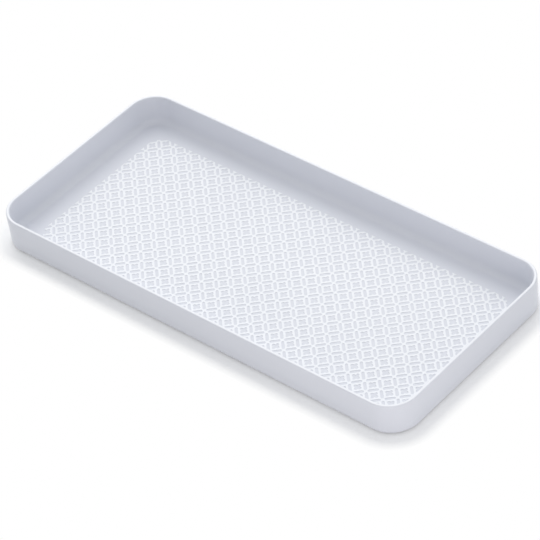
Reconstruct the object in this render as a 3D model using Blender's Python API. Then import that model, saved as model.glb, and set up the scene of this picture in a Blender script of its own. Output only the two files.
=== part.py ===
# Guest towel tray: a low moulded tray, a soft non-slip lattice lining and four rubber feet.
# Metres, +Z up, +X along the tray. The origin is in the middle of the footprint, on the surface
# that the feet stand on.

import math

import bmesh
import bpy
from mathutils import Matrix, Vector

# Tray shell, outside sizes
tray_length = 0.2800
tray_width = 0.1295
tray_height = 0.0204
corner_radius = 0.0165
bottom_radius = 0.0012
wall_draft = 0.0003

# Tray shell, inside: the wall leans in a little and meets the floor in a cove
wall_thickness = 0.0020
floor_thickness = 0.0020
inner_draft = 0.0006
cove_radius = 0.0038
rim_radius = 0.0009

# Lining: it lies a little off the middle, towards the right and front walls
lining_thickness = 0.0005
lining_left_margin = 0.0166
lining_right_margin = 0.0130
lining_front_margin = 0.01325
lining_back_margin = 0.01505
lining_corner_radius = 0.0090
lining_border = 0.0006

# Its lattice: a square grid at 45 degrees to the tray, drawn at twice the real pitch of 7.7 mm.
# A slot with round ends lies along each side of a cell, and a crossed opening in its middle.
grid_pitch = 0.0154
grid_shift_x_share = 0.330
grid_shift_y_share = -0.131
slot_half_length_share = 0.378
slot_half_width_share = 0.110
cross_reach_share = 0.360
cross_notch_share = 0.180

# Rubber feet, seated in shallow round recesses under the floor
foot_diameter = 0.0110
foot_thickness = 0.0017
foot_standoff = 0.0010
foot_end_inset = 0.0240
foot_side_inset = 0.0220
foot_edge_radius = 0.0004
recess_side_clearance = 0.0002

# Clearance between pieces that touch, and how far a cutter runs past what it cuts
seat_clearance = 0.0003
cut_overrun = 0.0010

# Smoothness of round forms
corner_steps = 10
bottom_steps = 3
cove_steps = 6
rim_steps = 3
slot_end_steps = 2
foot_sides = 28
foot_edge_steps = 2
merge_distance = 0.00001
smooth_angle = math.radians(35)


def clear_scene():
    for obj in list(bpy.data.objects):
        bpy.data.objects.remove(obj, do_unlink=True)


def make_collection(name):
    collection = bpy.data.collections.new(name)
    bpy.context.scene.collection.children.link(collection)
    return collection


def make_material(name, colour, roughness):
    material = bpy.data.materials.new(name)
    material.use_nodes = True
    shader = material.node_tree.nodes["Principled BSDF"]
    shader.inputs["Base Color"].default_value = (*colour, 1.0)
    shader.inputs["Roughness"].default_value = roughness
    shader.inputs["Metallic"].default_value = 0.0
    material.diffuse_color = (*colour, 1.0)
    return material


def place_mesh(bm, name, collection, material):
    mesh = bpy.data.meshes.new(name)
    bm.to_mesh(mesh)
    bm.free()
    mesh.shade_smooth()
    mesh.set_sharp_from_angle(angle=smooth_angle)
    obj = bpy.data.objects.new(name, mesh)
    collection.objects.link(obj)
    if material is not None:
        mesh.materials.append(material)
    return obj


def mark_cutter(obj):
    obj.hide_render = True
    obj.display_type = "WIRE"


def cut_with(obj, cutter):
    cut = obj.modifiers.new("cut_" + cutter.name, "BOOLEAN")
    cut.operation = "DIFFERENCE"
    cut.object = cutter


def upright_edges(bm):
    return [e for e in bm.edges if abs(e.verts[0].co.z - e.verts[1].co.z) > merge_distance]


def block(length, width, low, high):
    bm = bmesh.new()
    size = Matrix.Diagonal((length, width, high - low, 1.0))
    middle = Matrix.Translation((0.0, 0.0, (low + high) / 2))
    bmesh.ops.create_cube(bm, size=1.0, matrix=middle @ size)
    return bm


def round_corners(bm, radius):
    bmesh.ops.bevel(bm, geom=upright_edges(bm), offset=radius, offset_type="OFFSET",
                    segments=corner_steps, profile=0.5, affect="EDGES", clamp_overlap=False)


def soften_loop(bm, edges, radius, steps):
    bmesh.ops.bevel(bm, geom=edges, offset=radius, offset_type="OFFSET", segments=steps,
                    profile=0.5, affect="EDGES", clamp_overlap=False)


def lean_inwards(verts, distance):
    for vert in verts:
        vert.co.x -= math.copysign(distance, vert.co.x)
        vert.co.y -= math.copysign(distance, vert.co.y)


# The shell starts as a solid block. Its top is inset by the wall and pushed down to the floor,
# then the foot of the wall, the cove inside it and both edges of the rim are rounded.
def make_shell(collection):
    bm = block(tray_length, tray_width, foot_standoff, tray_height)
    base_verts = [v for v in bm.verts if v.co.z < tray_height - merge_distance]
    lean_inwards(base_verts, wall_draft)
    round_corners(bm, corner_radius)

    top = max(bm.faces, key=lambda f: f.calc_center_median().z)
    base = min(bm.faces, key=lambda f: f.calc_center_median().z)
    outer_rim = list(top.edges)
    base_loop = list(base.edges)
    bmesh.ops.inset_individual(bm, faces=[top], thickness=wall_thickness, use_even_offset=True)
    inner_rim = list(top.edges)
    pushed = bmesh.ops.extrude_discrete_faces(bm, faces=[top])
    floor = pushed["faces"][0]
    depth = tray_height - foot_standoff - floor_thickness
    bmesh.ops.translate(bm, vec=(0.0, 0.0, -depth), verts=floor.verts[:])
    lean_inwards(floor.verts, inner_draft)

    soften_loop(bm, list(floor.edges), cove_radius, cove_steps)
    soften_loop(bm, [e for e in base_loop if e.is_valid], bottom_radius, bottom_steps)
    soften_loop(bm, [e for e in outer_rim + inner_rim if e.is_valid], rim_radius, rim_steps)
    bmesh.ops.recalc_face_normals(bm, faces=bm.faces[:])
    material = make_material("white_moulded_plastic", (0.86, 0.87, 0.89), 0.32)
    return place_mesh(bm, "tray_shell", collection, material)


def foot_places():
    x = tray_length / 2 - foot_end_inset
    y = tray_width / 2 - foot_side_inset
    return {
        "foot_front_left": (-x, -y),
        "foot_front_right": (x, -y),
        "foot_back_left": (-x, y),
        "foot_back_right": (x, y),
    }


def make_foot(name, place, collection, material):
    bm = bmesh.new()
    middle = Matrix.Translation((place[0], place[1], foot_thickness / 2))
    bmesh.ops.create_cone(bm, cap_ends=True, segments=foot_sides, radius1=foot_diameter / 2,
                          radius2=foot_diameter / 2, depth=foot_thickness, matrix=middle)
    edge = [e for e in bm.edges if max(v.co.z for v in e.verts) < merge_distance]
    soften_loop(bm, edge, foot_edge_radius, foot_edge_steps)
    return place_mesh(bm, name, collection, material)


# One cutter holds the four recesses that the feet sit in
def make_recess_cutter(collection):
    top = foot_thickness + seat_clearance
    bottom = foot_standoff - cut_overrun
    radius = foot_diameter / 2 + recess_side_clearance
    bm = bmesh.new()
    for x, y in foot_places().values():
        middle = Matrix.Translation((x, y, (top + bottom) / 2))
        bmesh.ops.create_cone(bm, cap_ends=True, segments=foot_sides, radius1=radius,
                              radius2=radius, depth=top - bottom, matrix=middle)
    cutter = place_mesh(bm, "foot_recesses", collection, None)
    mark_cutter(cutter)
    return cutter


def lining_sides():
    left = -tray_length / 2 + lining_left_margin
    right = tray_length / 2 - lining_right_margin
    front = -tray_width / 2 + lining_front_margin
    back = tray_width / 2 - lining_back_margin
    return left, right, front, back


# A point is on the lining if it lies inside the round-cornered outline, less a narrow border
def on_lining(point):
    left, right, front, back = lining_sides()
    past_x = max(left + lining_corner_radius - point.x, point.x - right + lining_corner_radius, 0.0)
    past_y = max(front + lining_corner_radius - point.y, point.y - back + lining_corner_radius, 0.0)
    return math.hypot(past_x, past_y) < lining_corner_radius - lining_border


def round_end(centre, radius, facing):
    for step in range(slot_end_steps + 1):
        angle = facing - math.pi / 2 + math.pi * step / slot_end_steps
        yield centre + radius * math.cos(angle), radius * math.sin(angle)


def slot_outline():
    radius = slot_half_width_share * grid_pitch
    centre = slot_half_length_share * grid_pitch - radius
    return [*round_end(centre, radius, 0.0), *round_end(-centre, radius, math.pi)]


# Four arms taper to points along the tray's length and width, with notches between them
def cross_outline():
    points = []
    for corner in range(8):
        angle = corner * math.pi / 4
        reach = (cross_notch_share if corner % 2 else cross_reach_share) * grid_pitch
        points.append((reach * math.cos(angle), reach * math.sin(angle)))
    return points


def add_opening(bm, outline, place, turn, low, high):
    spin = Matrix.Rotation(turn, 2)
    points = [place + spin @ Vector(point) for point in outline]
    if not all(on_lining(point) for point in points):
        return
    face = bm.faces.new([bm.verts.new((point.x, point.y, low)) for point in points])
    grown = bmesh.ops.extrude_face_region(bm, geom=[face])
    top = [v for v in grown["geom"] if isinstance(v, bmesh.types.BMVert)]
    bmesh.ops.translate(bm, vec=(0.0, 0.0, high - low), verts=top)


# Along the tray's length and width, corners of cells and middles of cells take turns
def grid_places():
    left, right, front, back = lining_sides()
    step = grid_pitch / math.sqrt(2)
    shift = Vector((grid_shift_x_share, grid_shift_y_share)) * grid_pitch
    for column in range(math.floor(left / step) - 1, math.ceil(right / step) + 2):
        for row in range(math.floor(front / step) - 1, math.ceil(back / step) + 2):
            yield (column + row) % 2 == 0, Vector((column * step, row * step)) + shift


# Two of the sides that meet at a cell's corner get their slots from there
def make_gap_cutter(collection, low, high):
    bm = bmesh.new()
    slot = slot_outline()
    cross = cross_outline()
    for is_corner, place in grid_places():
        if not is_corner:
            add_opening(bm, cross, place, 0.0, low, high)
            continue
        for turn in (math.pi / 4, -math.pi / 4):
            middle = place + Vector((math.cos(turn), math.sin(turn))) * grid_pitch / 2
            add_opening(bm, slot, middle, turn, low, high)
    bmesh.ops.recalc_face_normals(bm, faces=bm.faces[:])
    cutter = place_mesh(bm, "lining_gaps", collection, None)
    mark_cutter(cutter)
    return cutter


def make_lining(collection, cutters):
    left, right, front, back = lining_sides()
    low = foot_standoff + floor_thickness + seat_clearance
    high = low + lining_thickness
    bm = block(right - left, back - front, low, high)
    bmesh.ops.translate(bm, vec=((left + right) / 2, (front + back) / 2, 0.0), verts=bm.verts)
    round_corners(bm, lining_corner_radius)
    material = make_material("soft_white_rubber", (0.90, 0.90, 0.90), 0.55)
    lining = place_mesh(bm, "grip_lining", collection, material)
    cut_with(lining, make_gap_cutter(cutters, low - cut_overrun, high + cut_overrun))
    return lining


def main():
    clear_scene()
    parts = make_collection("guest_towel_tray")
    cutters = make_collection("cutters")
    shell = make_shell(parts)
    cut_with(shell, make_recess_cutter(cutters))
    make_lining(parts, cutters)
    rubber = make_material("clear_grey_rubber", (0.72, 0.73, 0.74), 0.6)
    for name, place in foot_places().items():
        make_foot(name, place, parts, rubber)


main()
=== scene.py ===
import math

import bmesh
import bpy
from mathutils import Euler, Matrix, Vector


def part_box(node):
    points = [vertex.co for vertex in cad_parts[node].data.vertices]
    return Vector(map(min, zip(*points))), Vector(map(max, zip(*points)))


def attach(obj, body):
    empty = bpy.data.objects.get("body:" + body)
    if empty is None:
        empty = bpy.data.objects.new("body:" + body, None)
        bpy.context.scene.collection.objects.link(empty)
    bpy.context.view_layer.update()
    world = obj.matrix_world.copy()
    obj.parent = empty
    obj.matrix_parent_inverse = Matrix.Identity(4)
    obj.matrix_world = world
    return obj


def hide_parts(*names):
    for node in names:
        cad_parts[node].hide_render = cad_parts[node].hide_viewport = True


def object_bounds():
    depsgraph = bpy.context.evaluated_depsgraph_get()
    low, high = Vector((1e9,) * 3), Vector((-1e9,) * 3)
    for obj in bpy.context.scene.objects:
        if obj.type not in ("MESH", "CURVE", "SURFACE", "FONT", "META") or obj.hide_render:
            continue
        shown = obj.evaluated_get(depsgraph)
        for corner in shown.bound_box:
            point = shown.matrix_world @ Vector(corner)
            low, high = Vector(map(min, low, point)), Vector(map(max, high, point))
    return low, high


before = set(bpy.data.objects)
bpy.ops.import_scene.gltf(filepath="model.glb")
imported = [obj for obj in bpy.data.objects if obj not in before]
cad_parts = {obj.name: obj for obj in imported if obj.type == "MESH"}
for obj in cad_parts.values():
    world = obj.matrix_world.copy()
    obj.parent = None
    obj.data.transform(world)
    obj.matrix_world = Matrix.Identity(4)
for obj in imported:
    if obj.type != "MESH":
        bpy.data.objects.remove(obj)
cad_low, cad_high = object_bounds()

# The shell's sections, as they are in the solid model
foot_standoff = 0.0010
floor_thickness = 0.0020
wall_thickness = 0.0020
corner_radius = 0.0165
bottom_radius = 0.0012
cove_radius = 0.0038
rim_radius = 0.0009
wall_draft = 0.0003
inner_draft = 0.0006
recess_depth = 0.0010
recess_side_clearance = 0.0002
foot_edge_radius = 0.0004
foot_nodes = ("foot_front_left", "foot_front_right", "foot_back_left", "foot_back_right")

# Painted highlight: the very top of the wall is given a paler colour, standing in for the bright
# line of light along the rim
painted_rim_highlight_depth = 0.00025
painted_rim_highlight_fade = 0.0002
painted_rim_highlight_color = (0.945, 0.955, 0.995, 1.0)

# The lattice on the floor: a square grid at 45 degrees to the tray. Each cell has a crossed opening
# in its middle, and a slot with round ends lies along each side that it shares with the next.
cell = 0.00775
slot_half_width = 0.110 * cell
slot_half_length = 0.378 * cell
arm_half_width = 0.119 * cell
arm_reach = 0.141 * cell
slot_end_parts = 3
arm_end_parts = 4
lattice_height = 0.00015
lattice_lift = 0.00002
lattice_corner = 0.0090
corner_trims = 8
spare_cells = 1
smallest_island_share = 0.1
weld_distance = 0.00001

# Where the grid lies, in steps of half a cell's diagonal
grid_shift_x_share = 0.010
grid_shift_y_share = 0.547

# Smoothness of round forms
corner_parts = 28
cove_parts = 16
bottom_parts = 10
rim_parts = 6
foot_parts = 72
foot_edge_parts = 4
smooth_angle = math.radians(40)
smallest_length = 0.000001

# Fine grain and broad faint clouds in the moulded surfaces
grain_detail = 4.0
grain_roughness = 0.6
cloud_detail = 3.0
cloud_low = 0.35
cloud_high = 0.65
noise_middle = 0.5
grain_depth = 0.00001
foot_grain_depth = 0.00002
plain_gloss = 0.5
foot_gloss = 0.4

# A Mix node's sockets for colours come after those of its other kinds
mix_factor = 0
mix_first = 6
mix_second = 7
mix_result = 2

# The table is a hair below the feet. To the eye it is a little paler than its light makes it, and
# it turns plain white a little way out from the tray.
table_half_size = 3.0
table_drop = 0.00005
table_color = (0.86, 0.86, 0.86, 1.0)
table_roughness = 0.7
table_lift = 0.15
shadow_reach = 0.0045
white_reach = 0.0105

# The room is brighter behind the tray than in front of it, and a little brighter on the left
room_strength = 0.727
room_lean = (-0.10, 0.215, 0.0)
room_color = (0.96, 0.98, 1.0, 1.0)

# A soft lamp hangs behind the tray on the left, and a pale card stands low in front on the right
lamp_place = (-0.72, 0.72, 1.28)
lamp_aim = (0.0, 0.0, 0.0)
lamp_size = (1.2, 1.2)
lamp_power = 7.9
lamp_color = (1.0, 1.0, 1.0)
card_place = (0.38, -0.34, 0.09)
card_aim = (0.10, -0.04, 0.0)
card_size = (0.35, 0.16)
card_power = 0.38
card_color = (1.0, 0.95, 0.97)

# The camera, from the lines of the lattice in the photograph
camera_place = (0.8960, -0.8862, 1.1126)
camera_turn_degrees = (48.276, 5.967, 39.993)
camera_lens = 209.1
picture_sensor = 36.0


def finish_piece(bm, name, material, slot, *nodes):
    mesh = bpy.data.meshes.new(name)
    bm.to_mesh(mesh)
    bm.free()
    mesh.shade_smooth()
    mesh.set_sharp_from_angle(angle=smooth_angle)
    mesh.materials.append(material)
    piece = bpy.data.objects.new(name, mesh)
    bpy.context.scene.collection.objects.link(piece)
    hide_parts(*nodes)
    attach(piece, "root")


def soften_loop(bm, edges, radius, parts):
    bmesh.ops.bevel(bm, geom=edges, offset=radius, offset_type="OFFSET", segments=parts,
                    profile=0.5, affect="EDGES", clamp_overlap=False, material=-1)


def lean_inwards(verts, distance):
    for vert in verts:
        vert.co.x -= math.copysign(distance, vert.co.x)
        vert.co.y -= math.copysign(distance, vert.co.y)


def upright_edges(bm):
    return [e for e in bm.edges if abs(e.verts[0].co.z - e.verts[1].co.z) > smallest_length]


# Finish nodes

def new_group(name, inputs, outputs):
    group = bpy.data.node_groups.new(name, "ShaderNodeTree")
    for label, value in inputs.items():
        kind = "NodeSocketColor" if isinstance(value, tuple) else "NodeSocketFloat"
        socket = group.interface.new_socket(name=label, in_out="INPUT", socket_type=kind)
        socket.default_value = value
    for label, kind in outputs.items():
        group.interface.new_socket(name=label, in_out="OUTPUT", socket_type=kind)
    return group, group.nodes.new("NodeGroupInput"), group.nodes.new("NodeGroupOutput")


def noise(tree, vector, scale, detail, roughness=0.5):
    node = tree.nodes.new("ShaderNodeTexNoise")
    node.inputs["Detail"].default_value = detail
    node.inputs["Roughness"].default_value = roughness
    tree.links.new(vector, node.inputs["Vector"])
    tree.links.new(scale, node.inputs["Scale"])
    return node.outputs["Fac"]


def math_node(tree, operation, first, second=0.0):
    node = tree.nodes.new("ShaderNodeMath")
    node.operation = operation
    for socket, value in zip(node.inputs, (first, second)):
        if isinstance(value, (int, float)):
            socket.default_value = value
        else:
            tree.links.new(value, socket)
    return node.outputs[0]


# Nothing up to the low value, rising evenly to 1 at the high value
def rise(tree, value, low, high):
    node = tree.nodes.new("ShaderNodeMapRange")
    node.inputs["From Min"].default_value = low
    node.inputs["From Max"].default_value = high
    tree.links.new(value, node.inputs["Value"])
    return node.outputs["Result"]


def mix_colors(tree, share, first, second):
    node = tree.nodes.new("ShaderNodeMix")
    node.data_type = "RGBA"
    tree.links.new(share, node.inputs[mix_factor])
    tree.links.new(first, node.inputs[mix_first])
    if isinstance(second, tuple):
        node.inputs[mix_second].default_value = second
    else:
        tree.links.new(second, node.inputs[mix_second])
    return node.outputs[mix_result]


def mix_shaders(tree, share, first, second):
    node = tree.nodes.new("ShaderNodeMixShader")
    for source, socket in zip((share, first, second), node.inputs):
        tree.links.new(source, socket)
    return node.outputs["Shader"]


def place_on_object(tree):
    split = tree.nodes.new("ShaderNodeSeparateXYZ")
    tree.links.new(tree.nodes.new("ShaderNodeTexCoord").outputs["Object"], split.inputs[0])
    return split.outputs


# What the camera sees straight on, mirrored or through something clear
def seen_rays(tree):
    path = tree.nodes.new("ShaderNodeLightPath")
    seen = math_node(tree, "ADD", path.outputs["Is Camera Ray"], path.outputs["Is Glossy Ray"])
    return math_node(tree, "ADD", seen, path.outputs["Is Transmission Ray"])


# Moulded surface: a fine grain from the tool, faint flow clouds and an uneven polish
def moulded_surface_group():
    group, given, out = new_group(
        "moulded_surface",
        {"Color": (0.8, 0.8, 0.8, 1.0), "Cloud Color": (0.78, 0.78, 0.78, 1.0), "Grain Scale": 900.0,
         "Cloud Scale": 14.0, "Polish": 0.3, "Polish Spread": 0.05},
        {"Color": "NodeSocketColor", "Roughness": "NodeSocketFloat", "Height": "NodeSocketFloat"},
    )
    place = group.nodes.new("ShaderNodeTexCoord").outputs["Object"]
    clouds = noise(group, place, given.outputs["Cloud Scale"], cloud_detail)
    grain = noise(group, place, given.outputs["Grain Scale"], grain_detail, grain_roughness)
    cloudy = rise(group, clouds, cloud_low, cloud_high)
    color = mix_colors(group, cloudy, given.outputs["Color"], given.outputs["Cloud Color"])
    group.links.new(color, out.inputs["Color"])
    both = math_node(group, "ADD", clouds, grain)
    uneven = math_node(group, "SUBTRACT", both, 2 * noise_middle)
    spread = math_node(group, "MULTIPLY", uneven, given.outputs["Polish Spread"])
    rough = math_node(group, "ADD", given.outputs["Polish"], spread)
    group.links.new(rough, out.inputs["Roughness"])
    group.links.new(grain, out.inputs["Height"])
    return group


def surface_material(name, group, values, bump_depth, gloss):
    material = bpy.data.materials.new(name)
    material.use_nodes = True
    tree = material.node_tree
    shader = tree.nodes["Principled BSDF"]
    surface = tree.nodes.new("ShaderNodeGroup")
    surface.node_tree = group
    for label, value in values.items():
        surface.inputs[label].default_value = value
    bump = tree.nodes.new("ShaderNodeBump")
    bump.inputs["Strength"].default_value = 1.0
    bump.inputs["Distance"].default_value = bump_depth
    tree.links.new(surface.outputs["Color"], shader.inputs["Base Color"])
    tree.links.new(surface.outputs["Roughness"], shader.inputs["Roughness"])
    tree.links.new(surface.outputs["Height"], bump.inputs["Height"])
    tree.links.new(bump.outputs["Normal"], shader.inputs["Normal"])
    shader.inputs["Metallic"].default_value = 0.0
    shader.inputs["Specular IOR Level"].default_value = gloss
    return material


def shell_plastic(group):
    values = {"Color": (0.755, 0.770, 0.825, 1.0), "Cloud Color": (0.748, 0.762, 0.816, 1.0),
              "Grain Scale": 1400.0, "Cloud Scale": 12.0, "Polish": 0.36, "Polish Spread": 0.06}
    material = surface_material("shell_plastic_finish", group, values, grain_depth, plain_gloss)
    tree = material.node_tree
    base = tree.nodes["Principled BSDF"].inputs["Base Color"]
    # The top of the rim is mixed towards a paler colour, a painted highlight
    start = cad_high.z - painted_rim_highlight_depth
    painted_rim_highlight = rise(tree, place_on_object(tree)["Z"], start, start + painted_rim_highlight_fade)
    tree.links.new(mix_colors(tree, painted_rim_highlight, base.links[0].from_socket, painted_rim_highlight_color), base)
    return material


def lattice_rubber(group):
    values = {"Color": (0.945, 0.955, 0.985, 1.0), "Cloud Color": (0.930, 0.942, 0.975, 1.0),
              "Grain Scale": 2200.0, "Cloud Scale": 18.0, "Polish": 0.42, "Polish Spread": 0.08}
    return surface_material("lattice_rubber_finish", group, values, grain_depth, plain_gloss)


def foot_rubber(group):
    values = {"Color": (0.600, 0.605, 0.615, 1.0), "Cloud Color": (0.570, 0.575, 0.585, 1.0),
              "Grain Scale": 1600.0, "Cloud Scale": 90.0, "Polish": 0.62, "Polish Spread": 0.10}
    return surface_material("foot_rubber_finish", group, values, foot_grain_depth, foot_gloss)


# The tray's one moulding, with round corners, a coved foot inside and a rounded rim
def shell_form():
    low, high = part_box("tray_shell")
    bm = bmesh.new()
    size = Matrix.Diagonal((high.x - low.x, high.y - low.y, high.z - low.z, 1.0))
    bmesh.ops.create_cube(bm, size=1.0, matrix=Matrix.Translation((low + high) / 2) @ size)
    lean_inwards([v for v in bm.verts if v.co.z < high.z - smallest_length], wall_draft)
    soften_loop(bm, upright_edges(bm), corner_radius, corner_parts)

    top = max(bm.faces, key=lambda f: f.calc_center_median().z)
    base = min(bm.faces, key=lambda f: f.calc_center_median().z)
    outer_rim = list(top.edges)
    base_loop = list(base.edges)
    bmesh.ops.inset_individual(bm, faces=[top], thickness=wall_thickness, use_even_offset=True)
    inner_rim = list(top.edges)
    floor = bmesh.ops.extrude_discrete_faces(bm, faces=[top])["faces"][0]
    depth = high.z - low.z - floor_thickness
    bmesh.ops.translate(bm, vec=(0.0, 0.0, -depth), verts=floor.verts[:])
    lean_inwards(floor.verts, inner_draft)
    soften_loop(bm, list(floor.edges), cove_radius, cove_parts)
    soften_loop(bm, [e for e in base_loop if e.is_valid], bottom_radius, bottom_parts)
    soften_loop(bm, [e for e in outer_rim + inner_rim if e.is_valid], rim_radius, rim_parts)
    sink_recesses(bm)
    bmesh.ops.recalc_face_normals(bm, faces=bm.faces[:])
    return bm


# The feet sit in shallow round recesses in the underside, with a narrow gap round each
def sink_recesses(bm):
    base = min(bm.faces, key=lambda f: f.calc_center_median().z)
    outline = list(base.edges)
    bmesh.ops.delete(bm, geom=[base], context="FACES_ONLY")
    rings = []
    for node in foot_nodes:
        low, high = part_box(node)
        middle = Vector(((low.x + high.x) / 2, (low.y + high.y) / 2, foot_standoff))
        radius = (high.x - low.x) / 2 + recess_side_clearance
        made = bmesh.ops.create_circle(bm, cap_ends=False, segments=foot_parts, radius=radius,
                                       matrix=Matrix.Translation(middle))
        rings.append(list(dict.fromkeys(e for v in made["verts"] for e in v.link_edges)))
    ring_edges = [e for ring in rings for e in ring]
    bmesh.ops.triangle_fill(bm, edges=outline + ring_edges, use_beauty=True)
    for ring in rings:
        made = bmesh.ops.extrude_edge_only(bm, edges=ring)
        raised = new_geometry(made, bmesh.types.BMVert)
        bmesh.ops.translate(bm, vec=(0.0, 0.0, recess_depth), verts=raised)
        bmesh.ops.contextual_create(bm, geom=new_geometry(made, bmesh.types.BMEdge))


def new_geometry(made, kind):
    return [item for item in made["geom"] if isinstance(item, kind)]


def cut_back(bm, point, outward):
    bmesh.ops.bisect_plane(bm, geom=bm.verts[:] + bm.edges[:] + bm.faces[:], dist=smallest_length,
                           plane_co=point, plane_no=outward, clear_outer=True)


def arc(bm, start, middle, degrees, parts):
    first = bm.verts.new(start)
    spun = bmesh.ops.spin(bm, geom=[first], cent=middle, axis=(0.0, 0.0, 1.0),
                          angle=math.radians(degrees), steps=parts, use_merge=False)
    return first, spun["geom_last"][0]


# A quarter of one cell is outlined by two half slots, its arm of the crossed opening and the node
# where four cells meet. It is filled and turned four times round the cell.
def add_first_cell(bm):
    half = cell / 2
    inner = half - slot_half_width
    straight = slot_half_length - slot_half_width
    arm = Vector((arm_reach, arm_reach, 0.0))
    across = Vector((arm_half_width, -arm_half_width, 0.0)) / math.sqrt(2)
    notch = arm_half_width * math.sqrt(2)
    right_slot = arc(bm, (inner, straight, 0.0), (half, straight, 0.0), -90, slot_end_parts)
    node = bm.verts.new((half, half, 0.0))
    back_slot = arc(bm, (slot_half_length, half, 0.0), (straight, half, 0.0), -90, slot_end_parts)
    arm_end = arc(bm, arm - across, arm, -180, arm_end_parts)
    right_side = bm.verts.new((inner, 0.0, 0.0))
    back_side = bm.verts.new((0.0, inner, 0.0))
    back_notch = bm.verts.new((0.0, notch, 0.0))
    right_notch = bm.verts.new((notch, 0.0, 0.0))
    chain = [right_side, right_slot, node, back_slot, back_side, back_notch, arm_end, right_notch]
    ends = [item if isinstance(item, tuple) else (item, item) for item in chain]
    for (_, last), (first, _) in zip(ends, ends[1:] + ends[:1]):
        bm.edges.new((last, first))
    bmesh.ops.contextual_create(bm, geom=bm.edges[:])
    bmesh.ops.rotate(bm, matrix=Matrix.Rotation(math.pi / 4, 3, "Z"), verts=bm.verts)
    quarter = bm.verts[:] + bm.edges[:] + bm.faces[:]
    for turn in range(1, 4):
        copy = bmesh.ops.duplicate(bm, geom=quarter)
        bmesh.ops.rotate(bm, matrix=Matrix.Rotation(turn * math.pi / 2, 3, "Z"),
                         verts=new_geometry(copy, bmesh.types.BMVert))


def repeat(bm, offset, times):
    pattern = bm.verts[:] + bm.edges[:] + bm.faces[:]
    for number in range(1, times):
        copy = bmesh.ops.duplicate(bm, geom=pattern)
        moved = new_geometry(copy, bmesh.types.BMVert)
        bmesh.ops.translate(bm, vec=number * Vector(offset), verts=moved)


# The cells stand corner to corner along the tray, over a little more than the lining covers
def fill_with_cells(bm, low, high):
    step = cell / math.sqrt(2)
    across = 2 * step
    left = math.floor(low.x / across) - spare_cells
    front = math.floor(low.y / across) - spare_cells
    columns = math.ceil((high.x - low.x) / across) + 2 * spare_cells + 1
    rows = math.ceil((high.y - low.y) / across) + 2 * spare_cells + 1
    repeat(bm, (step, step, 0.0), 2)
    repeat(bm, (across, 0.0, 0.0), columns)
    repeat(bm, (0.0, across, 0.0), rows)
    start = Vector((2 * left + 1 + grid_shift_x_share, 2 * front + grid_shift_y_share, 0.0)) * step
    bmesh.ops.translate(bm, vec=start, verts=bm.verts)
    bmesh.ops.remove_doubles(bm, verts=bm.verts, dist=weld_distance)


def round_off(bm, low, high):
    for side, sign in ((low, -1.0), (high, 1.0)):
        cut_back(bm, (side.x, 0.0, 0.0), (sign, 0.0, 0.0))
        cut_back(bm, (0.0, side.y, 0.0), (0.0, sign, 0.0))
    ends_x = ((low.x, -1.0), (high.x, 1.0))
    ends_y = ((low.y, -1.0), (high.y, 1.0))
    for (edge_x, sign_x), (edge_y, sign_y) in [(x, y) for x in ends_x for y in ends_y]:
        middle = Vector((edge_x - sign_x * lattice_corner, edge_y - sign_y * lattice_corner, 0.0))
        for part in range(1, corner_trims):
            angle = part * math.pi / 2 / corner_trims
            outward = Vector((sign_x * math.cos(angle), sign_y * math.sin(angle), 0.0))
            cut_back(bm, middle + outward * lattice_corner, outward)


# Slivers that the trimming leaves loose are taken off
def drop_slivers(bm):
    sorted_out = set()
    slivers = []
    for start in bm.faces:
        if start in sorted_out:
            continue
        island = set()
        front = {start}
        while front:
            island |= front
            front = {f for face in front for e in face.edges for f in e.link_faces} - island
        sorted_out |= island
        if sum(f.calc_area() for f in island) < smallest_island_share * cell * cell:
            slivers.extend(island)
    bmesh.ops.delete(bm, geom=slivers, context="FACES")


# The faces that are kept at the foot are turned to face down as their copies are raised
def raise_lattice(bm):
    foot = bm.faces[:]
    if foot[0].normal.z < 0.0:
        bmesh.ops.reverse_faces(bm, faces=foot)
    grown = bmesh.ops.extrude_face_region(bm, geom=foot, use_keep_orig=True)
    raised = new_geometry(grown, bmesh.types.BMVert)
    bmesh.ops.translate(bm, vec=(0.0, 0.0, lattice_height), verts=raised)


def lattice_form():
    low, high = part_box("grip_lining")
    bm = bmesh.new()
    add_first_cell(bm)
    bmesh.ops.remove_doubles(bm, verts=bm.verts, dist=weld_distance)
    bmesh.ops.recalc_face_normals(bm, faces=bm.faces[:])
    fill_with_cells(bm, low, high)
    round_off(bm, low, high)
    drop_slivers(bm)
    floor = foot_standoff + floor_thickness + lattice_lift
    bmesh.ops.translate(bm, vec=(0.0, 0.0, floor), verts=bm.verts)
    raise_lattice(bm)
    return bm


def foot_form(node):
    low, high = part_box(node)
    middle = (low + high) / 2
    radius = (high.x - low.x) / 2
    bm = bmesh.new()
    bmesh.ops.create_cone(bm, cap_ends=True, segments=foot_parts, radius1=radius, radius2=radius,
                          depth=high.z - low.z, matrix=Matrix.Translation(middle))
    edge = [e for e in bm.edges if max(v.co.z for v in e.verts) < low.z + smallest_length]
    soften_loop(bm, edge, foot_edge_radius, foot_edge_parts)
    return bm


def pale_floor():
    bm = bmesh.new()
    bmesh.ops.create_grid(bm, x_segments=1, y_segments=1, size=table_half_size)
    bmesh.ops.translate(bm, vec=(0.0, 0.0, -table_drop), verts=bm.verts)
    mesh = bpy.data.meshes.new("table")
    bm.to_mesh(mesh)
    bm.free()
    table = bpy.data.objects.new("table", mesh)
    bpy.context.scene.collection.objects.link(table)
    mesh.materials.append(table_finish())


# How far a point of the table is from the tray's outline, looking down
def distance_from_tray(tree):
    place = place_on_object(tree)
    squares = []
    for axis, reach in (("X", cad_high.x), ("Y", cad_high.y)):
        side = math_node(tree, "ABSOLUTE", place[axis])
        past = math_node(tree, "SUBTRACT", side, reach - corner_radius)
        past = math_node(tree, "MAXIMUM", past, 0.0)
        squares.append(math_node(tree, "MULTIPLY", past, past))
    span = math_node(tree, "SQRT", math_node(tree, "ADD", squares[0], squares[1]))
    return math_node(tree, "SUBTRACT", span, corner_radius)


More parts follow.
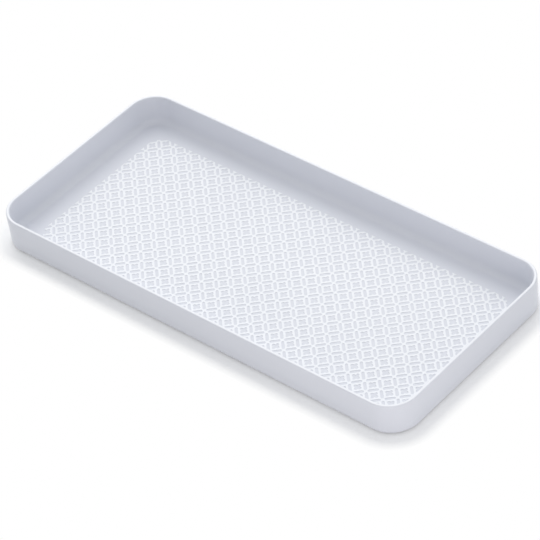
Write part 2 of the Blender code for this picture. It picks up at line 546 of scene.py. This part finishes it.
def table_finish():
    material = bpy.data.materials.new("pale_table")
    material.use_nodes = True
    tree = material.node_tree
    shader = tree.nodes["Principled BSDF"]
    shader.inputs["Base Color"].default_value = table_color
    shader.inputs["Roughness"].default_value = table_roughness
    seen = seen_rays(tree)
    lift = tree.nodes.new("ShaderNodeEmission")
    tree.links.new(math_node(tree, "MULTIPLY", seen, table_lift), lift.inputs["Strength"])
    near = tree.nodes.new("ShaderNodeAddShader")
    tree.links.new(shader.outputs["BSDF"], near.inputs[0])
    tree.links.new(lift.outputs["Emission"], near.inputs[1])
    white = tree.nodes.new("ShaderNodeEmission")
    away = rise(tree, distance_from_tray(tree), shadow_reach, white_reach)
    whiteness = math_node(tree, "MULTIPLY", seen, away)
    mixed = mix_shaders(tree, whiteness, near.outputs["Shader"], white.outputs["Emission"])
    tree.links.new(mixed, tree.nodes["Material Output"].inputs["Surface"])
    return material


def room_light():
    world = bpy.data.worlds.new("studio")
    bpy.context.scene.world = world
    world.use_nodes = True
    tree = world.node_tree
    soft = tree.nodes["Background"]
    soft.inputs["Color"].default_value = room_color
    sides = tree.nodes.new("ShaderNodeVectorMath")
    sides.operation = "DOT_PRODUCT"
    sides.inputs[1].default_value = room_lean
    tree.links.new(tree.nodes.new("ShaderNodeTexCoord").outputs["Generated"], sides.inputs[0])
    strength = math_node(tree, "ADD", sides.outputs["Value"], room_strength)
    tree.links.new(strength, soft.inputs["Strength"])
    white = tree.nodes.new("ShaderNodeBackground")
    white.inputs["Color"].default_value = (1.0, 1.0, 1.0, 1.0)
    white.inputs["Strength"].default_value = 1.0
    mixed = mix_shaders(tree, seen_rays(tree), soft.outputs[0], white.outputs[0])
    tree.links.new(mixed, tree.nodes["World Output"].inputs["Surface"])


def soft_lamp(name, place, aim, size, power, color):
    lamp = bpy.data.lights.new(name, "AREA")
    lamp.color = color
    lamp.shape = "RECTANGLE"
    lamp.size, lamp.size_y = size
    lamp.energy = power
    obj = bpy.data.objects.new(name, lamp)
    bpy.context.scene.collection.objects.link(obj)
    obj.location = place
    obj.rotation_euler = (Vector(aim) - Vector(place)).to_track_quat("-Z", "Y").to_euler()


def photo_camera():
    camera = bpy.data.cameras.new("camera")
    camera.lens = camera_lens
    camera.sensor_width = picture_sensor
    camera.sensor_fit = "HORIZONTAL"
    obj = bpy.data.objects.new("camera", camera)
    bpy.context.scene.collection.objects.link(obj)
    obj.location = camera_place
    obj.rotation_euler = Euler([math.radians(a) for a in camera_turn_degrees])
    bpy.context.scene.camera = obj


surface_group = moulded_surface_group()
plastic = shell_plastic(surface_group)
rubber = lattice_rubber(surface_group)
pad = foot_rubber(surface_group)
finish_piece(shell_form(), "shell", plastic, "shell_plastic", "tray_shell")
finish_piece(lattice_form(), "lattice", rubber, "lining_rubber", "grip_lining")
for node in foot_nodes:
    finish_piece(foot_form(node), node.replace("foot", "pad"), pad, "foot_rubber", node)

pale_floor()
room_light()
soft_lamp("overhead_lamp", lamp_place, lamp_aim, lamp_size, lamp_power, lamp_color)
soft_lamp("side_card", card_place, card_aim, card_size, card_power, card_color)
photo_camera()
bpy.context.scene.view_settings.view_transform = "Standard"
